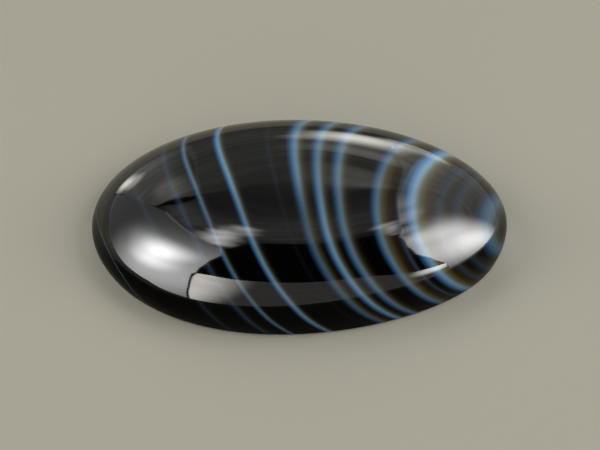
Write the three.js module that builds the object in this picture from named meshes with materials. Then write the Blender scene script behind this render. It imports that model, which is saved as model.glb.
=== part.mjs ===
// A sulemani agate: a black and blue-white banded chalcedony, cut as an oval cabochon.
//
// The stone is one piece. Its outside is a smooth dome over an egg-shaped outline, a girdle
// that stands higher at the pointed end than at the round end, a side that pulls in below the
// girdle, a narrow bevel and a flat ground base that the stone rests on.
//
// Units are millimetres, with +Z up. +X runs along the stone towards its pointed end. The
// origin is on the resting plane, under the middle of the stone's bounding box.

import * as THREE from "three";

// Overall form
const LENGTH = 38; // round end to pointed end
const WIDTH = 23.8; // across the middle of the stone
const GIRDLE_HEIGHT = 2.3; // widest level above the base, at the middle of the length
const GIRDLE_RISE = 0.6; // more than that at the pointed end, and less at the round end
const DOME_RISE = 4.8; // top of the dome above the girdle

// Outline
const TAPER = 0.094; // narrowing towards the pointed end, as a share of the half width
const SWAY = 0.026; // sideways drift of both tips, as a share of the half length

// Dome profile: height = (1 - u ^ SHOULDER) ^ (1 / CROWN), with u from the middle to the girdle
const SHOULDER = 4.1; // a larger value keeps the top flat for longer
const CROWN = 1.9; // a larger value stands steeper at the girdle
const CROWN_GAIN = 0.2; // more of that at the pointed end, and less at the round end

// Foot of the stone
const UNDERCUT = 0.036; // how far the side pulls in from girdle to base, as a share
const BEVEL = 0.3; // height and width of the bevel round the base

// Fineness of the facets
const SEGMENTS = 72; // round the stone
const DOME_RINGS = 18; // top of the dome to the girdle
const SIDE_RINGS = 5; // girdle to the bevel

const HALF_LENGTH = LENGTH / 2;
const HALF_WIDTH = WIDTH / 2;

// A point of the outline drawn at a share of its full size. The angle runs round the stone
// from the pointed end.
function outlinePoint(angle, share) {
  const x = Math.cos(angle) * share;
  const y = Math.sin(angle) * share;
  return {
    x: HALF_LENGTH * x,
    y: HALF_WIDTH * y * (1 - TAPER * x) - SWAY * HALF_LENGTH * x ** 3,
  };
}

function girdleHeight(angle) {
  return GIRDLE_HEIGHT + GIRDLE_RISE * Math.cos(angle);
}

// A point of the dome, with share 0 at its middle and 1 at the girdle.
function domePoint(angle, share) {
  const along = Math.cos(angle);
  const { x, y } = outlinePoint(angle, share);
  const crown = CROWN + CROWN_GAIN * along;
  const height = Math.max(0, 1 - share ** SHOULDER) ** (1 / crown);
  const foot = GIRDLE_HEIGHT + GIRDLE_RISE * along * share;
  return new THREE.Vector3(x, y, foot + DOME_RISE * height);
}

// A point of the side, with drop 0 at the girdle and 1 at the level of the base.
function sidePoint(angle, drop) {
  const { x, y } = outlinePoint(angle, 1 - UNDERCUT * drop ** 2);
  return new THREE.Vector3(x, y, girdleHeight(angle) * (1 - drop));
}

// The rings of the surface, each a function of the angle, from the top of the dome down.
function ringFunctions() {
  const rings = [];
  for (let i = 1; i <= DOME_RINGS; i++) {
    // Even steps of an arc crowd the rings towards the girdle, where the dome turns over.
    const share = Math.sin(((i / DOME_RINGS) * Math.PI) / 2);
    rings.push((angle) => domePoint(angle, share));
  }
  for (let i = 1; i <= SIDE_RINGS; i++) {
    rings.push((angle) => {
      const lastDrop = 1 - BEVEL / girdleHeight(angle);
      return sidePoint(angle, (lastDrop * i) / SIDE_RINGS);
    });
  }
  const foot = 1 - UNDERCUT - BEVEL / HALF_WIDTH;
  rings.push((angle) => {
    const { x, y } = outlinePoint(angle, foot);
    return new THREE.Vector3(x, y, 0);
  });
  return rings;
}

// The closed surface: a fan at the top, bands between the rings and a fan over the base.
function cabochonGeometry() {
  const rings = ringFunctions();
  const top = domePoint(0, 0);
  const points = [top];
  for (const ring of rings) {
    for (let j = 0; j < SEGMENTS; j++) {
      points.push(ring((j / SEGMENTS) * 2 * Math.PI));
    }
  }
  const base = points.push(new THREE.Vector3(0, 0, 0)) - 1;

  const at = (ring, j) => 1 + ring * SEGMENTS + (j % SEGMENTS);
  const faces = [];
  const lastRing = rings.length - 1;
  for (let j = 0; j < SEGMENTS; j++) {
    faces.push(0, at(0, j), at(0, j + 1));
    for (let ring = 0; ring < lastRing; ring++) {
      faces.push(at(ring, j), at(ring + 1, j), at(ring + 1, j + 1));
      faces.push(at(ring, j), at(ring + 1, j + 1), at(ring, j + 1));
    }
    faces.push(base, at(lastRing, j + 1), at(lastRing, j));
  }

  const geometry = new THREE.BufferGeometry().setFromPoints(points);
  geometry.setIndex(faces);
  return geometry;
}

// Moves the geometry so that its bounding box stands centred on the origin.
function standOnOrigin(geometry) {
  geometry.computeBoundingBox();
  const { min, max } = geometry.boundingBox;
  geometry.translate(-(min.x + max.x) / 2, -(min.y + max.y) / 2, -min.z);
  geometry.computeVertexNormals();
  return geometry;
}

const polishedAgate = new THREE.MeshStandardMaterial({
  name: "polished agate",
  color: 0x0d0c0d,
  roughness: 0.06,
  metalness: 0,
});

const cabochon = new THREE.Mesh(standOnOrigin(cabochonGeometry()), polishedAgate);
cabochon.name = "agate_cabochon";

const sulemaniAgate = new THREE.Group();
sulemaniAgate.name = "sulemani_agate";
sulemaniAgate.add(cabochon);

export default sulemaniAgate;
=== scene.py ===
# %% [markdown]
# # A sulemani agate cabochon
# The real object is one piece: black chalcedony crossed by blue-white layers, sawn, ground to
# an oval dome and polished until it mirrors the room. This notebook dresses a measured model of
# it. Three things make the look, and each has its own chapter: the form of the dome, the layers
# inside the stone, and the pale cards that the polish reflects.

# %% Load the measured model
import math

import bmesh
import bpy
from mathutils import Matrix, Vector


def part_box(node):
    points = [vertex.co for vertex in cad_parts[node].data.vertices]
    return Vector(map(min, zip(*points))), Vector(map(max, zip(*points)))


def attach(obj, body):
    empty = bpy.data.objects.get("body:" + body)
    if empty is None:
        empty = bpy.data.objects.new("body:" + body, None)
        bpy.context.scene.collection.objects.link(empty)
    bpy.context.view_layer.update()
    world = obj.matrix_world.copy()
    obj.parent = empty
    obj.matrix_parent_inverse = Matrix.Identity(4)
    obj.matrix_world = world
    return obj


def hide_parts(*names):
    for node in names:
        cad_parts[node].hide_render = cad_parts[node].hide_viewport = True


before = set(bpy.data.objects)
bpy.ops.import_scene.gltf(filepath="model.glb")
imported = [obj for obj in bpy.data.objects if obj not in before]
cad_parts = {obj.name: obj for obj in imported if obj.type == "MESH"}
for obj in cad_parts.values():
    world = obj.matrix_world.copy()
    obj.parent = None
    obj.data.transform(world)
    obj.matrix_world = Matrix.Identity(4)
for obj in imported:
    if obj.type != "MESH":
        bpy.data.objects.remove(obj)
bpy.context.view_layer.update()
CAD_NODE = "agate_cabochon"
low, high = (Vector(corner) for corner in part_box(CAD_NODE))
MM = 0.001
print("measured stone, mm:", [round(side / MM, 2) for side in high - low])

# %% [markdown]
# ## The camera
# A cabochon is photographed from well above its edge, so that the dome and the front of the
# girdle both show. A long lens from 40 cm keeps the oval free of perspective. The aim lies a
# little behind and above the middle of the base, which centres the stone in the picture.

# %% Set up the camera
PICTURE_WIDTH = 600  # pixels
SENSOR = 36.0  # millimetres, across the picture's width
CAMERA_HEIGHT = math.radians(47.0)  # above the horizon
CAMERA_DISTANCE = 0.400
NEAR_LIMIT = 0.01  # nothing nearer to the lens is drawn
PIXELS_PER_MM = 10.88  # at the stone
AIM = Vector((0.09, 1.10, 1.03)) * MM

camera_data = bpy.data.cameras.new("camera")
camera_data.sensor_width = SENSOR
camera_data.lens = SENSOR * PIXELS_PER_MM * (CAMERA_DISTANCE / MM) / PICTURE_WIDTH
camera_data.clip_start = NEAR_LIMIT
camera = bpy.data.objects.new("camera", camera_data)
towards_camera = Vector((0.0, -math.cos(CAMERA_HEIGHT), math.sin(CAMERA_HEIGHT)))
camera.location = AIM + towards_camera * CAMERA_DISTANCE
camera.rotation_euler = (math.pi / 2 - CAMERA_HEIGHT, 0.0, 0.0)
bpy.context.scene.collection.objects.link(camera)
bpy.context.scene.camera = camera
bpy.context.scene.view_settings.view_transform = "Standard"
print("lens, mm:", round(camera_data.lens))

# %% [markdown]
# ## Sums as nodes
# The dome, its layers and the cards all follow formulas. Blender adds and multiplies inside
# node trees with one Math node for each step, which is slow to build and hard to read. So a
# small class stands for a number that flows between nodes: an ordinary sum in Python then
# leaves the matching Math nodes behind in the tree.

# %% A number that flows between nodes
def plug(tree, value, entry):
    """Joins a flowing value to a socket, or writes a plain value into it."""
    if isinstance(value, Flow):
        tree.links.new(value.socket, entry)
    else:
        entry.default_value = value


def math_step(tree, operation, *values):
    node = tree.nodes.new("ShaderNodeMath")
    node.operation = operation
    for value, entry in zip(values, node.inputs):
        plug(tree, value, entry)
    return Flow(tree, node.outputs[0])


class Flow:
    """A value on its way from one node to the next."""

    def __init__(self, tree, socket):
        self.tree = tree
        self.socket = socket

    def __add__(self, other):
        return math_step(self.tree, "ADD", self, other)

    def __radd__(self, other):
        return math_step(self.tree, "ADD", other, self)

    def __sub__(self, other):
        return math_step(self.tree, "SUBTRACT", self, other)

    def __rsub__(self, other):
        return math_step(self.tree, "SUBTRACT", other, self)

    def __mul__(self, other):
        return math_step(self.tree, "MULTIPLY", self, other)

    def __truediv__(self, other):
        return math_step(self.tree, "DIVIDE", self, other)

    def __rtruediv__(self, other):
        return math_step(self.tree, "DIVIDE", other, self)

    def __pow__(self, other):
        return math_step(self.tree, "POWER", self, other)

    def sin(self):
        return math_step(self.tree, "SINE", self)

    def cos(self):
        return math_step(self.tree, "COSINE", self)

    def clamped(self):
        node = self.tree.nodes.new("ShaderNodeClamp")
        plug(self.tree, self, node.inputs["Value"])
        return Flow(self.tree, node.outputs[0])


# %% [markdown]
# Vectors, ramps and groups need a few helpers of the same kind. A ramp here is a Map Range
# node set to smooth steps: it says how far a value has come from one limit to another.

# %% Helpers for vectors, ramps and groups
def vector_step(tree, operation, *values):
    node = tree.nodes.new("ShaderNodeVectorMath")
    node.operation = operation
    for value, entry in zip(values, node.inputs):
        plug(tree, value, entry)
    gives_number = operation in ("DOT_PRODUCT", "LENGTH")
    return Flow(tree, node.outputs["Value" if gives_number else "Vector"])


def split(vector):
    node = vector.tree.nodes.new("ShaderNodeSeparateXYZ")
    plug(vector.tree, vector, node.inputs[0])
    return [Flow(vector.tree, output) for output in node.outputs]


def joined(tree, *values):
    node = tree.nodes.new("ShaderNodeCombineXYZ")
    for value, entry in zip(values, node.inputs):
        plug(tree, value, entry)
    return Flow(tree, node.outputs[0])


def ramp(value, start, end, low=0.0, high=1.0):
    """How far value has come from start to end, eased at both ends, between low and high."""
    node = value.tree.nodes.new("ShaderNodeMapRange")
    node.interpolation_type = "SMOOTHSTEP"
    for entry, content in zip(node.inputs, (value, start, end, low, high)):
        plug(value.tree, content, entry)
    return Flow(value.tree, node.outputs["Result"])


def new_group(name, tree_kind, inputs, outputs):
    """A node group with named sockets: its tree, its inputs by name and its output node."""
    tree = bpy.data.node_groups.new(name, tree_kind)
    for socket_name, (socket_kind, value) in inputs.items():
        socket = tree.interface.new_socket(socket_name, in_out="INPUT", socket_type=socket_kind)
        if value is not None:
            socket.default_value = value
    for socket_name, socket_kind in outputs.items():
        tree.interface.new_socket(socket_name, in_out="OUTPUT", socket_type=socket_kind)
    entry = tree.nodes.new("NodeGroupInput")
    given = {socket_name: Flow(tree, entry.outputs[socket_name]) for socket_name in inputs}
    return tree, given, tree.nodes.new("NodeGroupOutput")


def place_group(tree, group, **values):
    """Puts a group into a tree, feeds its inputs, and gives its outputs by name."""
    node = tree.nodes.new("ShaderNodeGroup")
    node.node_tree = group
    for name, value in values.items():
        plug(tree, value, node.inputs[name.replace("_", " ")])
    return {output.name: Flow(tree, output) for output in node.outputs}


# %% [markdown]
# ## The form
# A cutter marks an oval on the slab, grinds the side down to it, and then rolls the stone on
# the wheel so that the top becomes one smooth dome. It could be sculpted or subdivided from a
# cage, but the real surface follows a rule, so a formula in Geometry Nodes gives it exactly: a
# sphere is the starting mesh, because its seam and poles are already closed, and each of its
# rings is sent to the dome, to the side below the girdle, to the rounded foot or to the base.

# %% Driving dimensions of the form, in metres
HALF_LENGTH = (high.x - low.x) / 2
HALF_WIDTH = 11.9 * MM
TAPER = 0.094  # narrowing towards the pointed end, as a share of the half width
SWAY = 0.026  # sideways drift of both tips, as a share of the half length
GIRDLE_HEIGHT = 2.3 * MM  # widest level above the base, at mid length
GIRDLE_RISE = 0.6 * MM  # more than that at the pointed end, less at the round end
DOME_RISE = 4.8 * MM
SHOULDER = 4.1  # a larger value keeps the top flat for longer
CROWN = 1.9  # a larger value stands steeper at the girdle
CROWN_GAIN = 0.2  # more of that at the pointed end, less at the round end
UNDERCUT = 0.036  # how far the side pulls in from girdle to base, as a share
FOOT_ROUND = 0.3 * MM
POLISH_WAVE = 0.012 * MM  # depth of the faint hollows that hand polishing leaves
WAVE_LENGTH = 9.0 * MM

RINGS = {"Dome": 100, "Side": 30, "Foot": 6, "Base": 14}
SEGMENTS = 256

FORM_SIZES = {
    "Half Length": HALF_LENGTH,
    "Half Width": HALF_WIDTH,
    "Taper": TAPER,
    "Sway": SWAY,
    "Girdle Height": GIRDLE_HEIGHT,
    "Girdle Rise": GIRDLE_RISE,
    "Dome Rise": DOME_RISE,
    "Shoulder": SHOULDER,
    "Crown": CROWN,
    "Crown Gain": CROWN_GAIN,
    "Undercut": UNDERCUT,
    "Foot Round": FOOT_ROUND,
    "Polish Wave": POLISH_WAVE,
}
FORM_INPUTS = {name: ("NodeSocketFloat", size) for name, size in FORM_SIZES.items()}
FORM_INPUTS["Material"] = ("NodeSocketMaterial", None)
form, given, form_output = new_group(
    "cabochon form", "GeometryNodeTree", FORM_INPUTS, {"Geometry": "NodeSocketGeometry"}
)
print("rings:", sum(RINGS.values()), "segments:", SEGMENTS)

# %% [markdown]
# The sphere's own shape is only an address book. The angle round the axis says which part of
# the outline a point belongs to, and its ring says how far down the stone it lies.

# %% Address of each point: angle round the stone, and progress through each zone
sphere = form.nodes.new("GeometryNodeMeshUVSphere")
sphere.inputs["Segments"].default_value = SEGMENTS
sphere.inputs["Rings"].default_value = sum(RINGS.values())
position = Flow(form, form.nodes.new("GeometryNodeInputPosition").outputs[0])
sphere_x, sphere_y, sphere_z = split(position)
angle = math_step(form, "ARCTAN2", sphere_y, sphere_x)
radius = math_step(form, "SQRT", sphere_x * sphere_x + sphere_y * sphere_y)
ring = math_step(form, "ARCTAN2", radius, sphere_z) * (sum(RINGS.values()) / math.pi)

progress = {}
rings_above = 0
for zone, count in RINGS.items():
    progress[zone] = ((ring - rings_above) / count).clamped()
    rings_above += count
QUARTER = math.pi / 2
share = (progress["Dome"] * QUARTER).sin()
foot_in = 1 - (progress["Foot"] * QUARTER).cos()
foot_down = (progress["Foot"] * QUARTER).sin()
print("zones:", ", ".join(progress))

# %% [markdown]
# The outline is an oval that narrows towards one end, with both tips drifting slightly to one
# side, as hand grinding leaves it. The side pulls in a little below the girdle, so that a metal
# rim could hold the stone.

# %% Outline, side and foot
along = angle.cos()
across = angle.sin()
girdle = given["Girdle Height"] + given["Girdle Rise"] * along * share
drop = progress["Side"] * (1 - given["Foot Round"] / girdle)
side_share = share - given["Undercut"] * drop * drop
foot_share = 1 - given["Undercut"] - given["Foot Round"] / given["Half Width"]
outline_share = side_share + (foot_share - side_share) * foot_in
outline_share = outline_share * (1 - progress["Base"])
x = along * outline_share
y = across * outline_share
place_x = given["Half Length"] * x
sway = given["Sway"] * given["Half Length"] * x * x * x
place_y = given["Half Width"] * y * (1 - given["Taper"] * x) - sway

# %% [markdown]
# The dome is a superellipse: nearly flat on top, with a round shoulder that stands upright
# where it meets the girdle. The shoulder is tighter at the pointed end.

# %% Dome
crown = given["Crown"] + given["Crown Gain"] * along
shoulder = math_step(form, "MAXIMUM", 1 - share ** given["Shoulder"], 0.0)
dome = given["Dome Rise"] * shoulder ** (1 / crown)
place_z = (girdle * (1 - drop) + dome) * (1 - foot_down)

shaping = form.nodes.new("GeometryNodeSetPosition")
form.links.new(sphere.outputs["Mesh"], shaping.inputs["Geometry"])
plug(form, joined(form, place_x, place_y, place_z), shaping.inputs["Position"])
print("shaping:", len(form.nodes), "nodes")

# %% [markdown]
# No hand-polished dome is perfect. Hollows about a hundredth of a millimetre deep are invisible
# in themselves, yet they make the edges of every reflection waver. A bump in the material could
# fake them, but they are part of the surface, so they are cut into the mesh, always inwards,
# and die out towards the flat base.

# %% Hollows left by hand polishing
noise = form.nodes.new("ShaderNodeTexNoise")
noise.inputs["Scale"].default_value = 1 / WAVE_LENGTH
noise.inputs["Detail"].default_value = 1.0
plug(form, position, noise.inputs["Vector"])
depth = Flow(form, noise.outputs[0]) * given["Polish Wave"]
height_share = (split(position)[2] / given["Girdle Height"]).clamped()
normal = Flow(form, form.nodes.new("GeometryNodeInputNormal").outputs[0])
inwards = vector_step(form, "MULTIPLY", normal, joined(form, *[depth * height_share * -1] * 3))
polishing = form.nodes.new("GeometryNodeSetPosition")
form.links.new(shaping.outputs["Geometry"], polishing.inputs["Geometry"])
plug(form, inwards, polishing.inputs["Offset"])

# %% [markdown]
# A polish would show every facet, so the surface is shaded smooth. The tree ends in Realize
# Instances and Set Material: what leaves it is then an ordinary mesh that carries its material,
# whatever is added further up.

# %% Finish the tree
smoothing = form.nodes.new("GeometryNodeSetShadeSmooth")
realizing = form.nodes.new("GeometryNodeRealizeInstances")
painting = form.nodes.new("GeometryNodeSetMaterial")
form.links.new(polishing.outputs["Geometry"], smoothing.inputs["Geometry"])
form.links.new(smoothing.outputs["Geometry"], realizing.inputs["Geometry"])
form.links.new(realizing.outputs["Geometry"], painting.inputs["Geometry"])
plug(form, given["Material"], painting.inputs["Material"])
form.links.new(painting.outputs["Geometry"], form_output.inputs["Geometry"])
print("form tree:", len(form.nodes), "nodes")

# %% [markdown]
# The tree now runs once on an empty object. Its result becomes a plain mesh, and the modifier
# goes, so that what is kept is the finished surface. The piece rides on the stone's body and
# stands for the faceted solid, which keeps its place for collision.

# %% Grow the stone
polished_agate = bpy.data.materials.new("polished agate")
PIECE = "polished_cabochon"
stone = bpy.data.objects.new(PIECE, bpy.data.meshes.new(PIECE))
bpy.context.scene.collection.objects.link(stone)
growing = stone.modifiers.new("cabochon form", "NODES")
growing.node_group = form
for item in form.interface.items_tree:
    if item.in_out == "INPUT":
        growing[item.identifier] = FORM_SIZES.get(item.name, polished_agate)

depsgraph = bpy.context.evaluated_depsgraph_get()
grown = bpy.data.meshes.new_from_object(stone.evaluated_get(depsgraph), depsgraph=depsgraph)
stone.modifiers.clear()
stone.data = grown
grown.name = PIECE
grown.materials.clear()  # the mesh primitive leaves an empty slot in front of the material
grown.materials.append(polished_agate)
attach(stone, "root")
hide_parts(CAD_NODE)
grown.calc_loop_triangles()
print("stone:", len(grown.loop_triangles), "triangles")
print("material indices", {face.material_index for face in grown.polygons})

# %% [markdown]
# ## The layers
# An agate grows as thin sheets of silica, one on the next. Where the dome cuts through the
# sheets they show as bands. Painting the bands on the surface would tear at the edges and miss
# the back, so the material works out how deep in the stack of sheets each point lies, and
# every band is one depth in that stack: the bands then run on over the side and the base.
#
# The stack runs along the stone. It leans with height, bows along each axis, twists, and flares
# across the width: four dot products, each with a vector that can be read as a slope.

# %% How deep a point lies in the stack of sheets
layers, given, layers_output = new_group(
    "agate layers",
    "ShaderNodeTree",
    {
        "Place": ("NodeSocketVector", None),
        "Lean": ("NodeSocketVector", (1.0, 0.0, 0.0)),
        "Bow": ("NodeSocketVector", (0.0, 0.0, 0.0)),
        "Twist": ("NodeSocketVector", (0.0, 0.0, 0.0)),
        "Flare": ("NodeSocketVector", (0.0, 0.0, 0.0)),
        "Unit": ("NodeSocketFloat", 1.0),
    },
    {"Depth": "NodeSocketFloat"},
)
place_x, place_y, place_z = split(given["Place"])
squares = vector_step(layers, "MULTIPLY", given["Place"], given["Place"])
turned = joined(layers, place_y, place_z, place_x)
products = vector_step(layers, "MULTIPLY", given["Place"], turned)
stack = vector_step(layers, "DOT_PRODUCT", given["Place"], given["Lean"])
stack = stack + vector_step(layers, "DOT_PRODUCT", squares, given["Bow"])
stack = stack + vector_step(layers, "DOT_PRODUCT", products, given["Twist"])
stack = stack + vector_step(layers, "DOT_PRODUCT", products, given["Flare"]) * place_y
plug(layers, stack * given["Unit"], layers_output.inputs["Depth"])
print("layers group:", len(layers.nodes), "nodes")

# %% [markdown]
# One sheet is not a plain stripe. It begins with a sharp edge where the silica clouded at once,
# and clears slowly on the far side. Thin milk over black scatters blue light back, thicker milk
# looks paler, and where it clears the light that is left is the brown of strong tea. So the
# colour is a ramp through the thickness of the sheet. Brown stain that reaches further is a
# second ramp, with a length of its own.

# %% Colours through the thickness of a sheet
def colour_ramp(tree, value, stops):
    node = tree.nodes.new("ShaderNodeValToRGB")
    plug(tree, value, node.inputs[0])
    while len(node.color_ramp.elements) < len(stops):
        node.color_ramp.elements.new(0.5)  # anywhere, because the loop below moves it
    for element, (position, colour) in zip(node.color_ramp.elements, stops):
        element.position = position
        element.color = (*colour, 1.0)
    return Flow(tree, node.outputs["Color"])


CLEAR = (0.0, 0.0, 0.0)
MILK_THROUGH = [
    (0.00, CLEAR),
    (0.15, (0.016, 0.060, 0.130)),
    (0.27, (0.070, 0.190, 0.370)),
    (0.41, (0.160, 0.320, 0.500)),
    (0.50, (0.165, 0.270, 0.350)),
    (0.60, (0.085, 0.120, 0.120)),
    (0.71, (0.030, 0.034, 0.020)),
    (0.85, (0.008, 0.005, 0.001)),
    (1.00, CLEAR),
]
STAIN_THROUGH = [
    (0.00, CLEAR),
    (0.20, (0.075, 0.072, 0.050)),
    (0.35, (0.085, 0.072, 0.032)),
    (0.60, (0.036, 0.020, 0.005)),
    (1.00, CLEAR),
]

# %% [markdown]
# The group that draws one sheet is used for every band. A sheet may slant a little against its
# neighbours, and its milk carries painted shading towards the front of the stone: darker in
# front for most bands and brighter for one, for the way the light falls on the dome.

# %% One sheet of the stack
SHEET_THICKNESS = 1.3  # millimetres from edge to edge of the milk, at width 1
CORE_PLACE = 0.38  # where the milk is thickest, as a share of that
FRONT_SHADE_FROM = 3.0  # millimetres behind the middle of the stone, where the painted shading of the milk starts
FRONT_SHADE_TO = -4.0  # millimetres in front of it, where the painted front shading is fully reached

sheet, given, sheet_output = new_group(
    "agate sheet",
    "ShaderNodeTree",
    {
        "Depth": ("NodeSocketFloat", 0.0),
        "Across": ("NodeSocketFloat", 0.0),
        "Level": ("NodeSocketFloat", 0.0),
        "Slant": ("NodeSocketFloat", 0.0),
        "Width": ("NodeSocketFloat", 1.0),
        "Milk": ("NodeSocketFloat", 1.0),
        "Front Milk": ("NodeSocketFloat", 1.0),
        "Stain": ("NodeSocketFloat", 0.0),
        "Reach": ("NodeSocketFloat", 1.0),
    },
    {"Colour": "NodeSocketColor"},
)
from_core = given["Depth"] - given["Level"] - given["Slant"] * given["Across"]
milk_place = (from_core / (given["Width"] * SHEET_THICKNESS) + CORE_PLACE).clamped()
milk_colour = colour_ramp(sheet, milk_place, MILK_THROUGH)
# painted shade: each band's milk is scaled towards the front of the stone, standing in for the
# weaker light that falls there
frontness = ramp(given["Across"], FRONT_SHADE_FROM, FRONT_SHADE_TO)
shaded_milk = given["Milk"] * (1 + frontness * (given["Front Milk"] - 1))
stain_colour = colour_ramp(sheet, (from_core / given["Reach"]).clamped(), STAIN_THROUGH)


def scaled(colour, strength):
    tree = colour.tree
    return vector_step(tree, "MULTIPLY", colour, joined(tree, *[strength] * 3))


sheet_colour = scaled(milk_colour, shaded_milk)
sheet_colour = vector_step(sheet, "ADD", sheet_colour, scaled(stain_colour, given["Stain"]))
plug(sheet, sheet_colour, sheet_output.inputs["Colour"])
print("sheet group:", len(sheet.nodes), "nodes")

# %% [markdown]
# The stack is laid into the stone. Object coordinates are divided by half the length, so that
# the slopes don't depend on the stone's size, and a little noise keeps the sheets from looking
# ruled.

# %% Lay the stack into the stone
polished_agate.use_nodes = True
skin = polished_agate.node_tree
skin.nodes.clear()
MM_PER_HALF_LENGTH = HALF_LENGTH / MM
WAVER = 0.008  # as a share of the half length
WAVER_SCALE = 2.4  # how often it turns within half a length, roughly

coordinates = skin.nodes.new("ShaderNodeTexCoord")
mapping = skin.nodes.new("ShaderNodeMapping")
mapping.inputs["Scale"].default_value = [1 / HALF_LENGTH] * 3
skin.links.new(coordinates.outputs["Object"], mapping.inputs["Vector"])
place = Flow(skin, mapping.outputs[0])

waver = skin.nodes.new("ShaderNodeTexNoise")
waver.inputs["Scale"].default_value = WAVER_SCALE
waver.inputs["Detail"].default_value = 2.0
plug(skin, place, waver.inputs["Vector"])
wave = Flow(skin, waver.outputs["Color"])
waver_offset = vector_step(skin, "SUBTRACT", wave, (0.5, 0.5, 0.5))  # the noise lies round 0.5
waver_offset = vector_step(skin, "MULTIPLY", waver_offset, (WAVER, WAVER, WAVER))
sheets_place = vector_step(skin, "ADD", place, waver_offset)

stack_depth = place_group(
    skin,
    layers,
    Place=sheets_place,
    Lean=(1.0, 0.176, 0.978),
    Bow=(-0.21, 0.055, -0.38),
    Twist=(-0.149, -0.149, -0.771),
    Flare=(-0.301, -0.416, -0.636),
    Unit=MM_PER_HALF_LENGTH,
)["Depth"]
across_mm = split(place)[1] * MM_PER_HALF_LENGTH
print("millimetres in half the stone's length:", round(MM_PER_HALF_LENGTH, 2))

# %% [markdown]
# The bands, from the round end to the pointed end. Levels and reaches are in millimetres. A
# close trio stands past the middle, and the widest band, with the deepest stain, closes the
# pointed end. Between them lie veils so thin that they only just show.

# %% Cut the bands
# The front value of each band is painted shade, not a change in the stone: its milk at the
# front, as a share of its milk at the back.
BANDS = {
    "rim thread": dict(Level=-17.28, Slant=-0.082, Width=0.45, Milk=0.25),
    "first veil": dict(Level=-8.66, Slant=-0.089, Width=1.30, Milk=0.06),
    "second veil": dict(Level=-4.31, Slant=-0.012, Width=1.20, Milk=0.11),
    "left thin line": dict(Level=-2.10, Width=0.80, Milk=0.68, Front_Milk=0.70),
    "left bright line": dict(
        Level=1.07, Slant=-0.006, Width=0.90, Milk=1.20, Front_Milk=0.66, Stain=0.05
    ),
    "middle veil": dict(Level=4.43, Slant=0.012, Width=0.60, Milk=0.04, Front_Milk=0.3),
    "trio first": dict(
        Level=5.90, Slant=0.031, Width=1.00, Milk=0.94, Front_Milk=0.36, Stain=0.28
    ),
    "trio second": dict(
        Level=7.19, Slant=0.034, Width=0.90, Milk=0.78, Front_Milk=1.15, Stain=0.16, Reach=0.9
    ),
    "trio third": dict(
        Level=8.36, Slant=0.029, Width=0.90, Milk=0.70, Front_Milk=0.80, Stain=0.24, Reach=0.9
    ),
    "soft band": dict(Level=10.51, Slant=0.039, Width=0.80, Milk=0.58, Stain=0.70, Reach=1.1),
    "soft thread": dict(Level=11.70, Slant=0.051, Width=0.45, Milk=0.14),
    "wide band": dict(
        Level=12.18, Width=0.95, Milk=1.50, Front_Milk=0.68, Stain=0.85, Reach=1.2
    ),
    "tip veil": dict(Level=13.36, Slant=0.007, Width=0.60, Milk=0.11, Stain=0.12, Reach=0.7),
    "tip thread": dict(Level=14.02, Slant=-0.012, Width=0.60, Milk=0.10, Stain=0.15, Reach=0.9),
    "tip patch": dict(Level=15.09, Width=0.90, Milk=0.50, Stain=0.20),
}
BLACK_STONE = (0.0008, 0.0008, 0.0010)
stone_colour = BLACK_STONE
for settings in BANDS.values():
    drawn = place_group(skin, sheet, Depth=stack_depth, Across=across_mm, **settings)
    stone_colour = vector_step(skin, "ADD", drawn["Colour"], stone_colour)
print("bands:", len(BANDS))

# %% [markdown]
# The dome and the side are polished to a mirror, and agate bends light as quartz does. The base
# is only ground flat, because nobody sees it once the stone is set: it is satin, a shade
# greyer, and full of parallel lapping marks. A mask by height tells the two apart.

# %% Shader of the stone
QUARTZ_INDEX = 1.54  # refractive index
POLISHED = 0.045  # roughness
GROUND = 0.42  # roughness of the base
GROUND_GREY = 0.010
GROUND_BELOW = 0.10  # millimetres above the table
POLISHED_ABOVE = 0.20
LAPPING = 0.16  # how much the marks change the roughness of the base
MARKS_STRETCH = (6.0, 260.0, 6.0)  # long along the stone, close together across it

height_mm = split(place)[2] * MM_PER_HALF_LENGTH
ground = ramp(height_mm, POLISHED_ABOVE, GROUND_BELOW)
marks = skin.nodes.new("ShaderNodeTexNoise")
marks.inputs["Scale"].default_value = 1.0
marks.inputs["Detail"].default_value = 2.0
plug(skin, vector_step(skin, "MULTIPLY", place, MARKS_STRETCH), marks.inputs["Vector"])
mark_share = Flow(skin, marks.outputs[0]) - 0.5
roughness = ground * (GROUND - POLISHED + mark_share * LAPPING) + POLISHED
grey = ground * GROUND_GREY * (mark_share + 1.0)
stone_colour = vector_step(skin, "ADD", stone_colour, joined(skin, grey, grey, grey))

surface = skin.nodes.new("ShaderNodeBsdfPrincipled")
surface.inputs["IOR"].default_value = QUARTZ_INDEX
plug(skin, roughness, surface.inputs["Roughness"])
plug(skin, stone_colour, surface.inputs["Base Color"])
skin_output = skin.nodes.new("ShaderNodeOutputMaterial")
skin.links.new(surface.outputs["BSDF"], skin_output.inputs["Surface"])
print("stone material:", len(skin.nodes), "nodes")

# %% [markdown]
# ## The table and the lamps
# The stone lies on a plain pale table. Soft lamps light the table and the bands evenly. They
# are hidden from reflections, because on a polished dome the shapes of the lights are the
# picture: those are hung on their own in the next chapter.
#
# The side of the stone mirrors the table. Mirrored rays don't see the lit cloth but a painted
# reflection: a glowing tone with painted shade in front of the stone, where the nap is seen from
# its shaded side, and lighter behind it. So a mirrored ray finds a second, darker tone on it
# than the camera does.

# %% Table
FLOOR_SIZE = 4.0
FLOOR_COLOUR = (0.60, 0.575, 0.475, 1.0)
MIRRORED_TINT = (1.0, 0.95, 0.75)
MIRRORED_FRONT = 0.04
MIRRORED_BACK = 0.40
TONE_FRONT = -0.012  # metres from the stone's middle, where the front tone ends
TONE_BACK = 0.020  # where the back tone is reached

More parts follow.
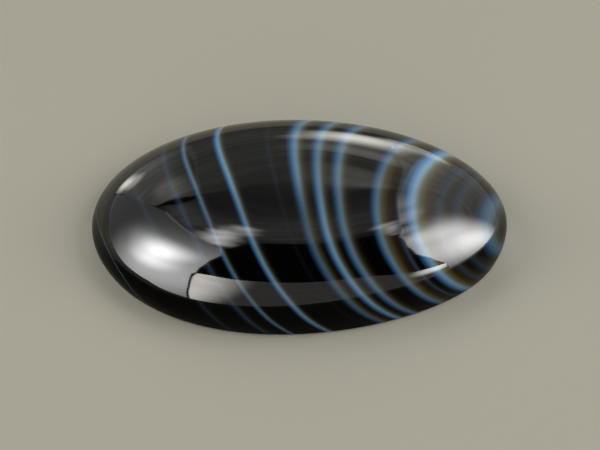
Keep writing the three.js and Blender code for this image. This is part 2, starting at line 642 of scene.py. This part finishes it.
floor_mesh = bpy.data.meshes.new("table")
half = FLOOR_SIZE / 2
floor_mesh.from_pydata(
    [(-half, -half, 0.0), (half, -half, 0.0), (half, half, 0.0), (-half, half, 0.0)],
    [],
    [(0, 1, 2, 3)],
)
floor = bpy.data.objects.new("table", floor_mesh)
bpy.context.scene.collection.objects.link(floor)
floor_paint = bpy.data.materials.new("pale table")
floor_paint.use_nodes = True
cloth = floor_paint.node_tree
cloth.nodes.clear()
cloth_colour = cloth.nodes.new("ShaderNodeBsdfDiffuse")
cloth_colour.inputs["Color"].default_value = FLOOR_COLOUR
cloth_place = cloth.nodes.new("ShaderNodeTexCoord")
depth_behind = split(Flow(cloth, cloth_place.outputs["Object"]))[1]
# painted reflection: mirrored rays see this glowing tone instead of the lit cloth, with painted
# shade in front of the stone
painted_reflection_tone = ramp(depth_behind, TONE_FRONT, TONE_BACK, MIRRORED_FRONT, MIRRORED_BACK)
mirrored = cloth.nodes.new("ShaderNodeEmission")
mirrored.inputs["Color"].default_value = (*MIRRORED_TINT, 1.0)
plug(cloth, painted_reflection_tone, mirrored.inputs["Strength"])
ray = cloth.nodes.new("ShaderNodeLightPath")
either = cloth.nodes.new("ShaderNodeMixShader")
cloth_output = cloth.nodes.new("ShaderNodeOutputMaterial")
cloth.links.new(ray.outputs["Is Glossy Ray"], either.inputs["Fac"])
cloth.links.new(cloth_colour.outputs[0], either.inputs[1])
cloth.links.new(mirrored.outputs[0], either.inputs[2])
cloth.links.new(either.outputs[0], cloth_output.inputs["Surface"])
floor_mesh.materials.append(floor_paint)
print("table:", FLOOR_SIZE, "m wide")

# %% [markdown]
# Four square area lamps stand round the stone, as soft boxes would. A single dome of light
# would be simpler, but four lamps can be dimmed one by one, until the table is as even as it is
# under a cloudy window and the bands have the same strength all along the stone.

# %% Lamps for the table and the bands
LAMPS = {  # azimuth, elevation, distance in metres, width in metres, watts
    "lamp left": (-85, 40, 0.9, 0.7, 2.3),
    "lamp right": (85, 40, 0.9, 0.7, 3.2),
    "lamp back": (180, 45, 1.0, 0.9, 2.6),
    "lamp front": (0, 32, 1.0, 0.9, 2.9),
}
ROOM_COLOUR = (0.004, 0.004, 0.004, 1.0)


def direction(azimuth, elevation):
    """A unit vector: azimuth in degrees from the camera's side, to the right, and elevation."""
    turn = math.radians(azimuth)
    rise = math.radians(elevation)
    flat = math.cos(rise)
    return Vector((math.sin(turn) * flat, -math.cos(turn) * flat, math.sin(rise)))


def lamp(name, azimuth, elevation, distance, size, watts):
    data = bpy.data.lights.new(name, "AREA")
    data.shape = "SQUARE"
    data.size = size
    data.energy = watts
    item = bpy.data.objects.new(name, data)
    towards = direction(azimuth, elevation)
    item.location = towards * distance
    item.rotation_euler = towards.to_track_quat("Z", "Y").to_euler()
    item.visible_glossy = False
    bpy.context.scene.collection.objects.link(item)


for name, settings in LAMPS.items():
    lamp(name, *settings)
print("lamps:", len(LAMPS))

world = bpy.data.worlds.new("room")
world.use_nodes = True
backdrop = world.node_tree.nodes["Background"]
backdrop.inputs["Color"].default_value = ROOM_COLOUR
bpy.context.scene.world = world

# %% [markdown]
# ## What the polish reflects
# Small shiny things are photographed between white cards, with an opening for the lens. The
# cards show in the dome: a bright one on each side, a grey strip in front, dim walls at the
# back, and the black opening between them. Each card is a patch of the sky round the stone,
# given by the directions of its corners. Its glow is a base tone plus soft spots, each full
# round one direction and gone at some angle from it. A fade is a soft spot too, but the other
# spots are multiplied by it: a card then dims towards one side.

# %% A soft spot, as a share from 0 to 1
spot, given, spot_output = new_group(
    "soft spot",
    "ShaderNodeTree",
    {
        "Towards": ("NodeSocketVector", None),
        "Centre": ("NodeSocketVector", (0.0, 0.0, 1.0)),
        "Full": ("NodeSocketFloat", 10.0),
        "Gone": ("NodeSocketFloat", 20.0),
    },
    {"Share": "NodeSocketFloat"},
)
cosine = vector_step(spot, "DOT_PRODUCT", given["Towards"], given["Centre"])
angle = math_step(spot, "ARCCOSINE", cosine) * math.degrees(1.0)
plug(spot, ramp(angle, given["Gone"], given["Full"]), spot_output.inputs["Share"])
print("soft spot group:", len(spot.nodes), "nodes")


def spot_share(towards, azimuth, elevation, full, gone):
    centre = direction(azimuth, elevation)
    return place_group(
        towards.tree, spot, Towards=towards, Centre=centre, Full=full, Gone=gone
    )["Share"]


# %% [markdown]
# Flat cards of such odd shapes would cut through one another where they meet. So each outline
# is cut into small faces and blown up onto a sphere round the stone, and each card gets a
# sphere of its own, a little larger than the one before. The glow is added to whatever lies
# behind it, so two cards can overlap like two lights. Some cards also carry faint level lines,
# which make their reflection streak like that of cloth.

# %% A glowing card
CARD_DISTANCE = 0.45
CARD_SPACING = 0.004  # from one sphere to the next
CARD_CUTS = 7  # per edge of each triangle
LINES_STRETCH = (3.0, 3.0, 70.0)  # noise drawn out level and squeezed upwards
LINES_FROM = 0.3
LINES_TO = 0.7  # the share of the noise over which a line turns from dark to bright
cards = []


def card_material(name, tint, base, spots, fades, lines):
    material = bpy.data.materials.new(name)
    material.use_nodes = True
    tree = material.node_tree
    tree.nodes.clear()
    seat = tree.nodes.new("ShaderNodeTexCoord")
    towards = vector_step(tree, "NORMALIZE", Flow(tree, seat.outputs["Object"]))
    strength = 0.0
    for azimuth, elevation, full, gone, power in spots:
        strength = spot_share(towards, azimuth, elevation, full, gone) * power + strength
    for fade in fades:
        strength = spot_share(towards, *fade) * strength
    strength = strength + base
    if lines:
        noise = tree.nodes.new("ShaderNodeTexNoise")
        noise.inputs["Scale"].default_value = 1.0
        noise.inputs["Detail"].default_value = 3.0
        stretched = vector_step(tree, "MULTIPLY", towards, LINES_STRETCH)
        plug(tree, stretched, noise.inputs["Vector"])
        grain = Flow(tree, noise.outputs[0])
        strength = strength * ramp(grain, LINES_FROM, LINES_TO, 1 - lines, 1 + lines)
    emission = tree.nodes.new("ShaderNodeEmission")
    emission.inputs["Color"].default_value = (*tint, 1.0)
    plug(tree, strength, emission.inputs["Strength"])
    clear = tree.nodes.new("ShaderNodeBsdfTransparent")
    both = tree.nodes.new("ShaderNodeAddShader")
    output = tree.nodes.new("ShaderNodeOutputMaterial")
    tree.links.new(emission.outputs[0], both.inputs[0])
    tree.links.new(clear.outputs[0], both.inputs[1])
    tree.links.new(both.outputs[0], output.inputs["Surface"])
    return material


def card(name, outlines, tint=(1.0, 1.0, 1.0), base=0.0, spots=(), fades=(), lines=0.0):
    """Hangs a card that only mirrored rays see.

    An outline is a list of (azimuth, elevation), a spot is (azimuth, elevation, full, gone,
    power), and a fade is a spot without its power. All angles are in degrees.
    """
    shell = bmesh.new()
    for outline in outlines:
        shell.faces.new([shell.verts.new(direction(*corner)) for corner in outline])
    bmesh.ops.triangulate(shell, faces=shell.faces[:])
    bmesh.ops.subdivide_edges(shell, edges=shell.edges[:], cuts=CARD_CUTS, use_grid_fill=True)
    for corner in shell.verts:
        corner.co = corner.co.normalized() * (CARD_DISTANCE + CARD_SPACING * len(cards))
    mesh = bpy.data.meshes.new(name)
    shell.to_mesh(mesh)
    shell.free()
    mesh.materials.append(card_material(name, tint, base, spots, fades, lines))
    item = bpy.data.objects.new(name, mesh)
    bpy.context.scene.collection.objects.link(item)
    item.visible_camera = False
    item.visible_diffuse = False
    item.visible_shadow = False
    cards.append(item)


# %% [markdown]
# The table's far edge hides what hangs low. So the cards end a few degrees above the horizon,
# and a ring of panels in the table's own tone closes the gap below them. On the left the ring
# reaches higher, as the foot of the left card does. The ring is hung twice: once in a plain tone
# that grows towards the back, and once for the glow that the side cards throw on the cloth,
# which fades out downwards.

# %% Ring at the table's edge
TABLE_EDGE = 6.2  # degrees above the horizon
LEFT_EDGE = 13.0  # the same on the left
LEFT_SIDE = range(-140, -60)  # where the left begins and ends, in degrees of azimuth
RING_FOOT = -1  # a little below the horizon, so that no gap is left
PANEL_WIDTH = 20  # degrees

ring_panels = []
for start in range(-180, 180, PANEL_WIDTH):
    end = start + PANEL_WIDTH
    top = LEFT_EDGE if start in LEFT_SIDE else TABLE_EDGE
    ring_panels.append([(start, RING_FOOT), (end, RING_FOOT), (end, top), (start, top)])
# painted reflection of the table: a glowing ring, with painted shade in front and lighter
# towards the back
card("table edge", ring_panels, MIRRORED_TINT, base=0.05, spots=[(180, 0, 40, 120, 0.35)])
card(
    "table glow",
    ring_panels,
    MIRRORED_TINT,
    spots=[(78, 5, 15, 55, 1.8), (-75, 5, 25, 50, 0.35)],
    fades=[(0, 90, 80, 92)],
)
print("ring panels:", len(ring_panels))

# %% [markdown]
# Two bright cards light the picture. Each is brightest where its lamp shines through and falls
# off towards its edges. A picture of a studio could be wrapped round the scene instead, but
# drawn cards stay sharp, and each can be moved by itself until its edge runs over the dome as
# it should. The edges that two cards share are lists of their own.

# %% Bright cards left and right
WALL_EDGE = [
    (172, TABLE_EDGE), (172.5, 40), (174.2, 46), (174.6, 48.6), (173.0, 51.5),
    (169.7, 55.6), (162.8, 61.4), (153.7, 66.2), (146.5, 69.4),
]
WALL_TOP = [(130, 71.4), (114.9, 72.3)]
LEFT_WALL_EDGE = [(-141.2, 30), (-143.5, 40)]
LEFT_CARD = [
    (-140.5, 11), (-127, 12.6), (-115, 13), (-102, 12), (-92.5, 10.4), (-83, 9.2), (-74, 9.7),
    (-64, 10.2), (-57, 7.7), (-50, 7), (-40, TABLE_EDGE), (-44, 22.5), (-46.6, 31),
    (-50.1, 38.2), (-54.5, 45.1), (-57.1, 48.4), (-60.4, 51.8), (-61.2, 55), (-70.7, 61.3),
    (-79, 65.5), (-88, 68), (-97, 69.6), (-106, 70.8), (-122, 71.4), (-138, 68.5),
    (-143, 62), (-146.5, 55), (-147, 47), *reversed(LEFT_WALL_EDGE),
]
RIGHT_CARD = [
    (54, TABLE_EDGE), (95, TABLE_EDGE - 0.8), (135, TABLE_EDGE), *WALL_EDGE, *WALL_TOP,
    (98, 71.6), (85.9, 69.4), (66.7, 61.8), (60.6, 54), (57.7, 46), (55.2, 36), (55, 22),
]
card(
    "left card",
    [LEFT_CARD],
    base=0.55,
    spots=[
        (-102, 54.6, 0, 15.3, 14.4),
        (-87.7, 41.7, 0, 19.6, 11.7),
        (-75, 34.6, 0, 67, 8.1),
        (-110, 46.2, 0, 16.4, 6.7),
    ],
    fades=[(2, 24, 72, 107)],
)
card(
    "right card",
    [RIGHT_CARD],
    tint=(1.0, 0.99, 0.98),
    spots=[(72, 34, 0, 51, 7.2), (115, 30, 0, 60, 19.3), (126, 58, 0, 20, 9.4)],
    fades=[(160, 4, 78, 49), (168, 67, 17, 3)],
)
print("bright cards:", len(LEFT_CARD), "and", len(RIGHT_CARD), "corners")

# %% [markdown]
# In front hangs a narrow grey strip, below the opening for the lens. It is bright at both ends,
# and a dark gap a degree or two wide parts it from the left card.

# %% Strip in front
FRONT_STRIP = [
    (-38.5, TABLE_EDGE), (0, TABLE_EDGE), (38, 5), (53, 5), (55, 22), (44, 28.5), (36, 37.5),
    (30, 47), (21, 52), (9, 55), (-5, 58), (-20, 60), (-36, 59), (-53, 57.6), (-59.6, 54.8),
    (-55.2, 48.4), (-52.7, 45.1), (-48.5, 38.2), (-45.2, 31), (-42.7, 22.5),
]
card(
    "front strip",
    [FRONT_STRIP],
    tint=(1.0, 0.97, 0.89),
    base=0.50,
    spots=[(-90, 15, 46, 67, 9.5), (51, 22, 3, 13, 12.0)],
    lines=0.12,
)
print("front strip:", len(FRONT_STRIP), "corners")

# %% [markdown]
# Behind the stone the room is dim. A wall stands on the right and one on the left, and between
# them a far light shines over a lower back wall. Its brightest places lie side by side along
# the upper edge, where they draw the two pale wedges that flank the dark opening.

# %% Walls and the far light
RIGHT_WALL = [*WALL_EDGE, *WALL_TOP, (104, 68), (104, TABLE_EDGE)]
FAR_LIGHT = [
    *WALL_EDGE, (158, 67.6), (165, 65.2), (178, 67), (-167, 64), (-157, 65.5), (-160, 55),
    (-166, 46.5), (-166, TABLE_EDGE),
]
FAR_LIGHT_LEFT = [
    (-166, 47.0), (-160, 47.6), (-155, 47.2), (-150, 45.6), (-146.6, 44.6), (-147, 47),
    (-146.8, 55), (-143.3, 62), (-139, 69), (-157, 65.5), (-160, 55),
]
BACK_WALL = [
    (-164, TABLE_EDGE), (-166, 46.5), (-174, 46.5), (-178, 47.0), (178, 47.3), (170, 47.8),
    (160, 47.8), (160, TABLE_EDGE),
]
LEFT_WALL = [
    (-141.0, TABLE_EDGE), *LEFT_WALL_EDGE, (-146, 43.6), (-149.5, 44.3), (-153, 44.6),
    (-158, 45.4), (-163, 46.3), (-166, 46.4), (-166, TABLE_EDGE),
]
card(
    "right back wall",
    [RIGHT_WALL],
    tint=(1.0, 0.99, 0.95),
    base=0.13,
    spots=[
        (140, 30, 24, 44, 0.62),
        (172, 52, 0, 4, 1.5),
        (166.5, 58, 0, 6, 2.8),
        (154, 66, 0, 5, 3.2),
    ],
    lines=0.2,
)
card(
    "far light",
    [FAR_LIGHT, FAR_LIGHT_LEFT],
    tint=(1.0, 0.99, 0.97),
    base=0.13,
    spots=[
        (-148, 64.2, 0, 4.2, 5.6),
        (-155.6, 61.2, 0, 3.8, 5.2),
        (-159.5, 58.8, 0, 3.1, 6.6),
        (-164.6, 57.4, 1, 3.0, 2.4),
        (-167.8, 55.5, 0, 2.0, 3.6),
        (-150.6, 61.0, 1, 4.1, 2.7),
        (-155, 52, 2, 9, 0.35),
        (-176, 57, 4, 10, 0.25),
        (168.8, 60.1, 0, 2.5, 3.4),
        (165.2, 62.1, 0, 1.8, 4.8),
        (163.0, 63.7, 0, 1.8, 4.2),
        (160.5, 65.2, 0, 1.9, 3.6),
        (155.8, 67.0, 0, 2.0, 2.4),
    ],
    lines=0.2,
)
card(
    "back wall",
    [BACK_WALL],
    tint=(1.0, 1.0, 0.85),
    spots=[(-172, 40, 12, 40, 0.22), (180, 47, 0.5, 3.5, 0.8)],
    lines=0.25,
)
card(
    "left back wall",
    [LEFT_WALL],
    tint=(1.0, 0.99, 0.93),
    base=0.13,
    spots=[
        (-130, 25, 23, 36, 0.58),
        (-157, 12, 3, 14, 0.3),
        (-156, 40, 1, 7, 0.7),
        (-161, 44, 1, 6, 0.5),
    ],
    lines=0.25,
)
print("cards so far:", len(cards))

# %% [markdown]
# The back of a dome squeezes a whole room into a rim a few pixels wide, so small things there
# show as streaks. A few soft patches low on the back walls give them, and one thin sloping
# line stands for the frame at the end of the left wall.

# %% Streaks along the back, and the frame of the wall
STREAKS = [
    (-135, TABLE_EDGE), (-145, 30), (180, 40), (160, 40), (155, TABLE_EDGE), (180, TABLE_EDGE),
]
FRAME_LINE = [(-148.5, 48), (-147, 48), (-139.5, 68), (-141.5, 68)]
card(
    "streaks",
    [STREAKS],
    tint=(1.0, 0.98, 0.90),
    spots=[
        (-146.6, 11.8, 0, 7.0, 6.6),
        (-148.3, 18.1, 2, 6.3, 2.5),
        (176.8, 27.1, 0, 7.4, 5.4),
        (174.7, 21.3, 0, 8.2, 6.4),
        (166.9, 15.0, 4, 7.5, 1.7),
        (177.4, 37.7, 0, 6.8, 1.2),
    ],
)
card("frame line", [FRAME_LINE], base=0.8)
print("cards:", len(cards))
